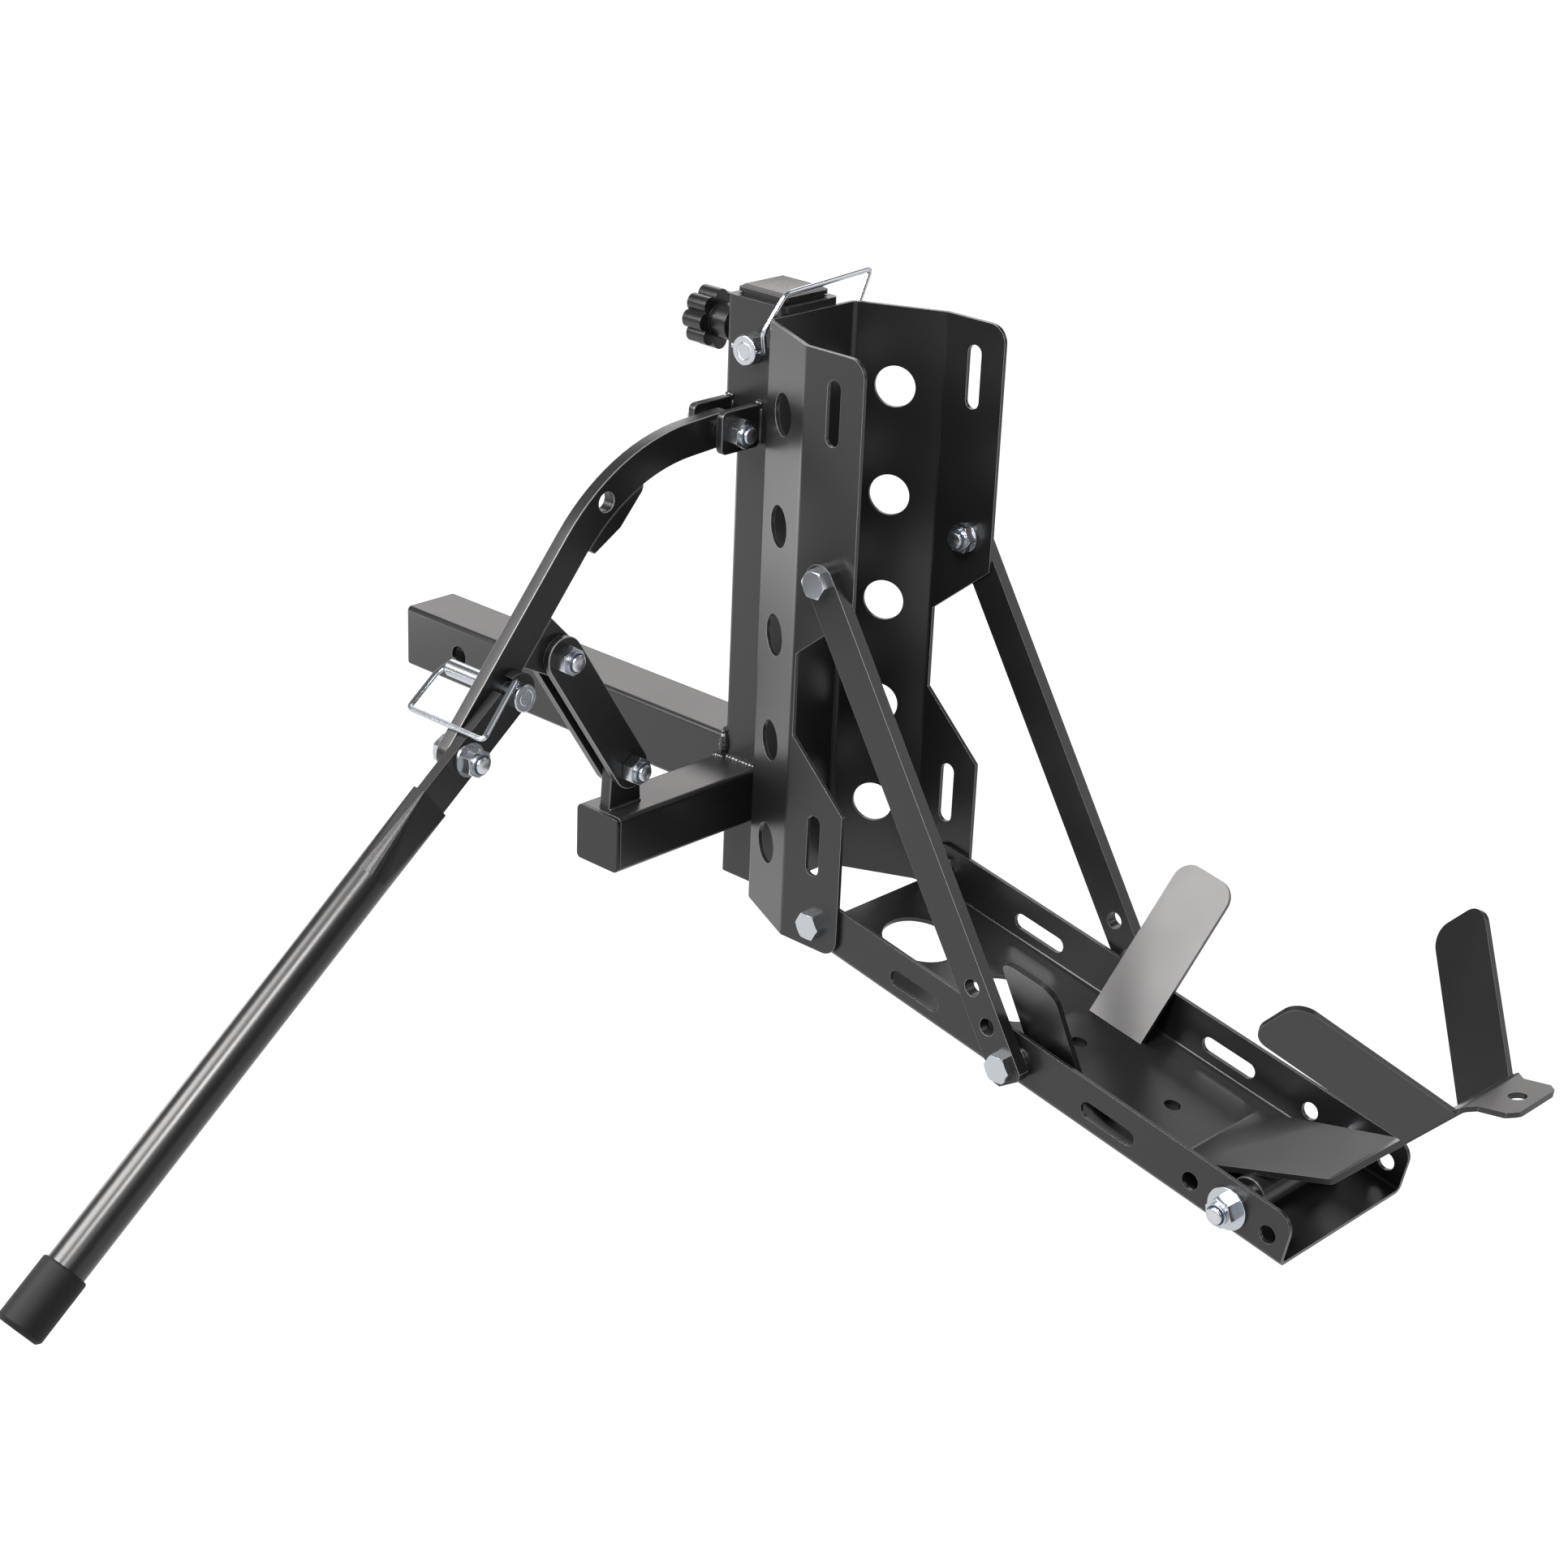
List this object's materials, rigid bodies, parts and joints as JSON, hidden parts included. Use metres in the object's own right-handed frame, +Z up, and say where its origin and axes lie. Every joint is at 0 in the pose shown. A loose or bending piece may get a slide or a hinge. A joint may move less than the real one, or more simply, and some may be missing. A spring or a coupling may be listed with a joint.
{
  "type": "hitch motorcycle carrier",
  "caption": "Hitch-mounted motorcycle carrier: square bar and post, lever-lifted sleeve with pierced wheel channel, sloping tray with see-saw wheel cradle, folding lever handle and lock pins.",
  "frame": {"origin": "middle of the hitch-pin hole, on the hitch bar's axis", "axes": "+X from the pin towards the wheel tray, +Y away from the lever along the pin hole, +Z up along the post"},
  "size_m": [1.0383, 0.7808, 0.5825],
  "materials": {
    "black_coat": "satin black powder coat",
    "zinc": "bright zinc plate",
    "black_plastic": "moulded black plastic",
    "rubber": "black rubber cap"
  },
  "bodies": {
    "frame": {"hitch_bar": "black_coat", "post": "black_coat", "post_plug": "black_plastic", "side_arm": "black_coat", "arm_plug": "black_plastic", "arm_lug": "black_coat", "lug_bolt": "zinc", "lug_nut": "zinc"},
    "carriage": {"sleeve": "black_coat", "clevis_ears": "black_coat", "clevis_bolt": "zinc", "clevis_nut": "zinc", "clevis_spacers": "zinc", "clamp_boss": "black_coat", "top_lock_pin": "zinc", "wheel_channel": "black_coat", "wheel_tray": "black_coat", "near_brace": "black_coat", "far_brace": "black_coat", "brace_top_bolts": "zinc", "brace_top_nuts": "zinc", "brace_foot_bolts": "zinc", "brace_foot_nuts": "zinc", "brace_spacers": "zinc", "tray_bolts": "zinc", "tray_nuts": "zinc", "cradle_axle": "zinc", "axle_washers": "zinc", "axle_nut": "zinc"},
    "knob": {"clamp_knob": "black_plastic", "clamp_screw": "zinc"},
    "top_wire": {"top_bail": "zinc"},
    "lever": {"lever_bar": "black_coat", "fulcrum_boss": "black_coat", "stow_plate": "black_coat", "handle_bolt": "zinc", "handle_nut": "zinc", "handle_lock_pin": "zinc"},
    "links": {"near_link": "black_coat", "far_link": "black_coat", "fulcrum_bolt": "zinc", "fulcrum_nut": "zinc"},
    "handle": {"handle_tang": "black_coat", "handle_tube": "black_coat", "handle_cap": "rubber"},
    "handle_wire": {"handle_bail": "zinc"},
    "cradle": {"wheel_cradle": "black_coat", "cradle_tube": "black_coat"}
  },
  "joints": [
    {"name": "lift", "type": "slide", "parent": "frame", "child": "carriage", "axis": [0, 0, 1], "range_m": [-0.064, 0]},
    {"name": "lever_turn", "type": "hinge", "parent": "carriage", "child": "lever", "pos_m": [0.309, -0.051, 0.268], "axis": [1, 0, 0], "range_deg": [-14.4, 0]},
    {"name": "links_turn", "type": "hinge", "parent": "frame", "child": "links", "pos_m": [0.309, -0.141, 0.037], "axis": [1, 0, 0], "range_deg": [0, 18.3]},
    {"name": "handle_fold", "type": "hinge", "parent": "lever", "child": "handle", "pos_m": [0.3184, -0.29556, 0.08734], "axis": [1, 0, 0], "range_deg": [-65, 0]},
    {"name": "handle_wire_swing", "type": "hinge", "parent": "lever", "child": "handle_wire", "pos_m": [0.3277, -0.25342, 0.1227], "axis": [0, 0.309, -0.9511], "range_deg": [-110, 0]},
    {"name": "top_wire_swing", "type": "hinge", "parent": "carriage", "child": "top_wire", "pos_m": [0.317, -0.0328, 0.322], "axis": [1, 0, 0], "range_deg": [0, 100]},
    {"name": "knob_turn", "type": "hinge", "parent": "carriage", "child": "knob", "pos_m": [0.267, 0, 0.326], "axis": [1, 0, 0], "range_deg": [-180, 180]},
    {"name": "cradle_tip", "type": "hinge", "parent": "carriage", "child": "cradle", "pos_m": [0.80722, 0, -0.1361], "axis": [0, 1, 0], "range_deg": [0, 30]}
  ],
  "couplings": [
    {"joint": "lever_turn", "follows": "lift", "rad_per_m": 3.76},
    {"joint": "links_turn", "follows": "lift", "rad_per_m": -4.84}
  ]
}
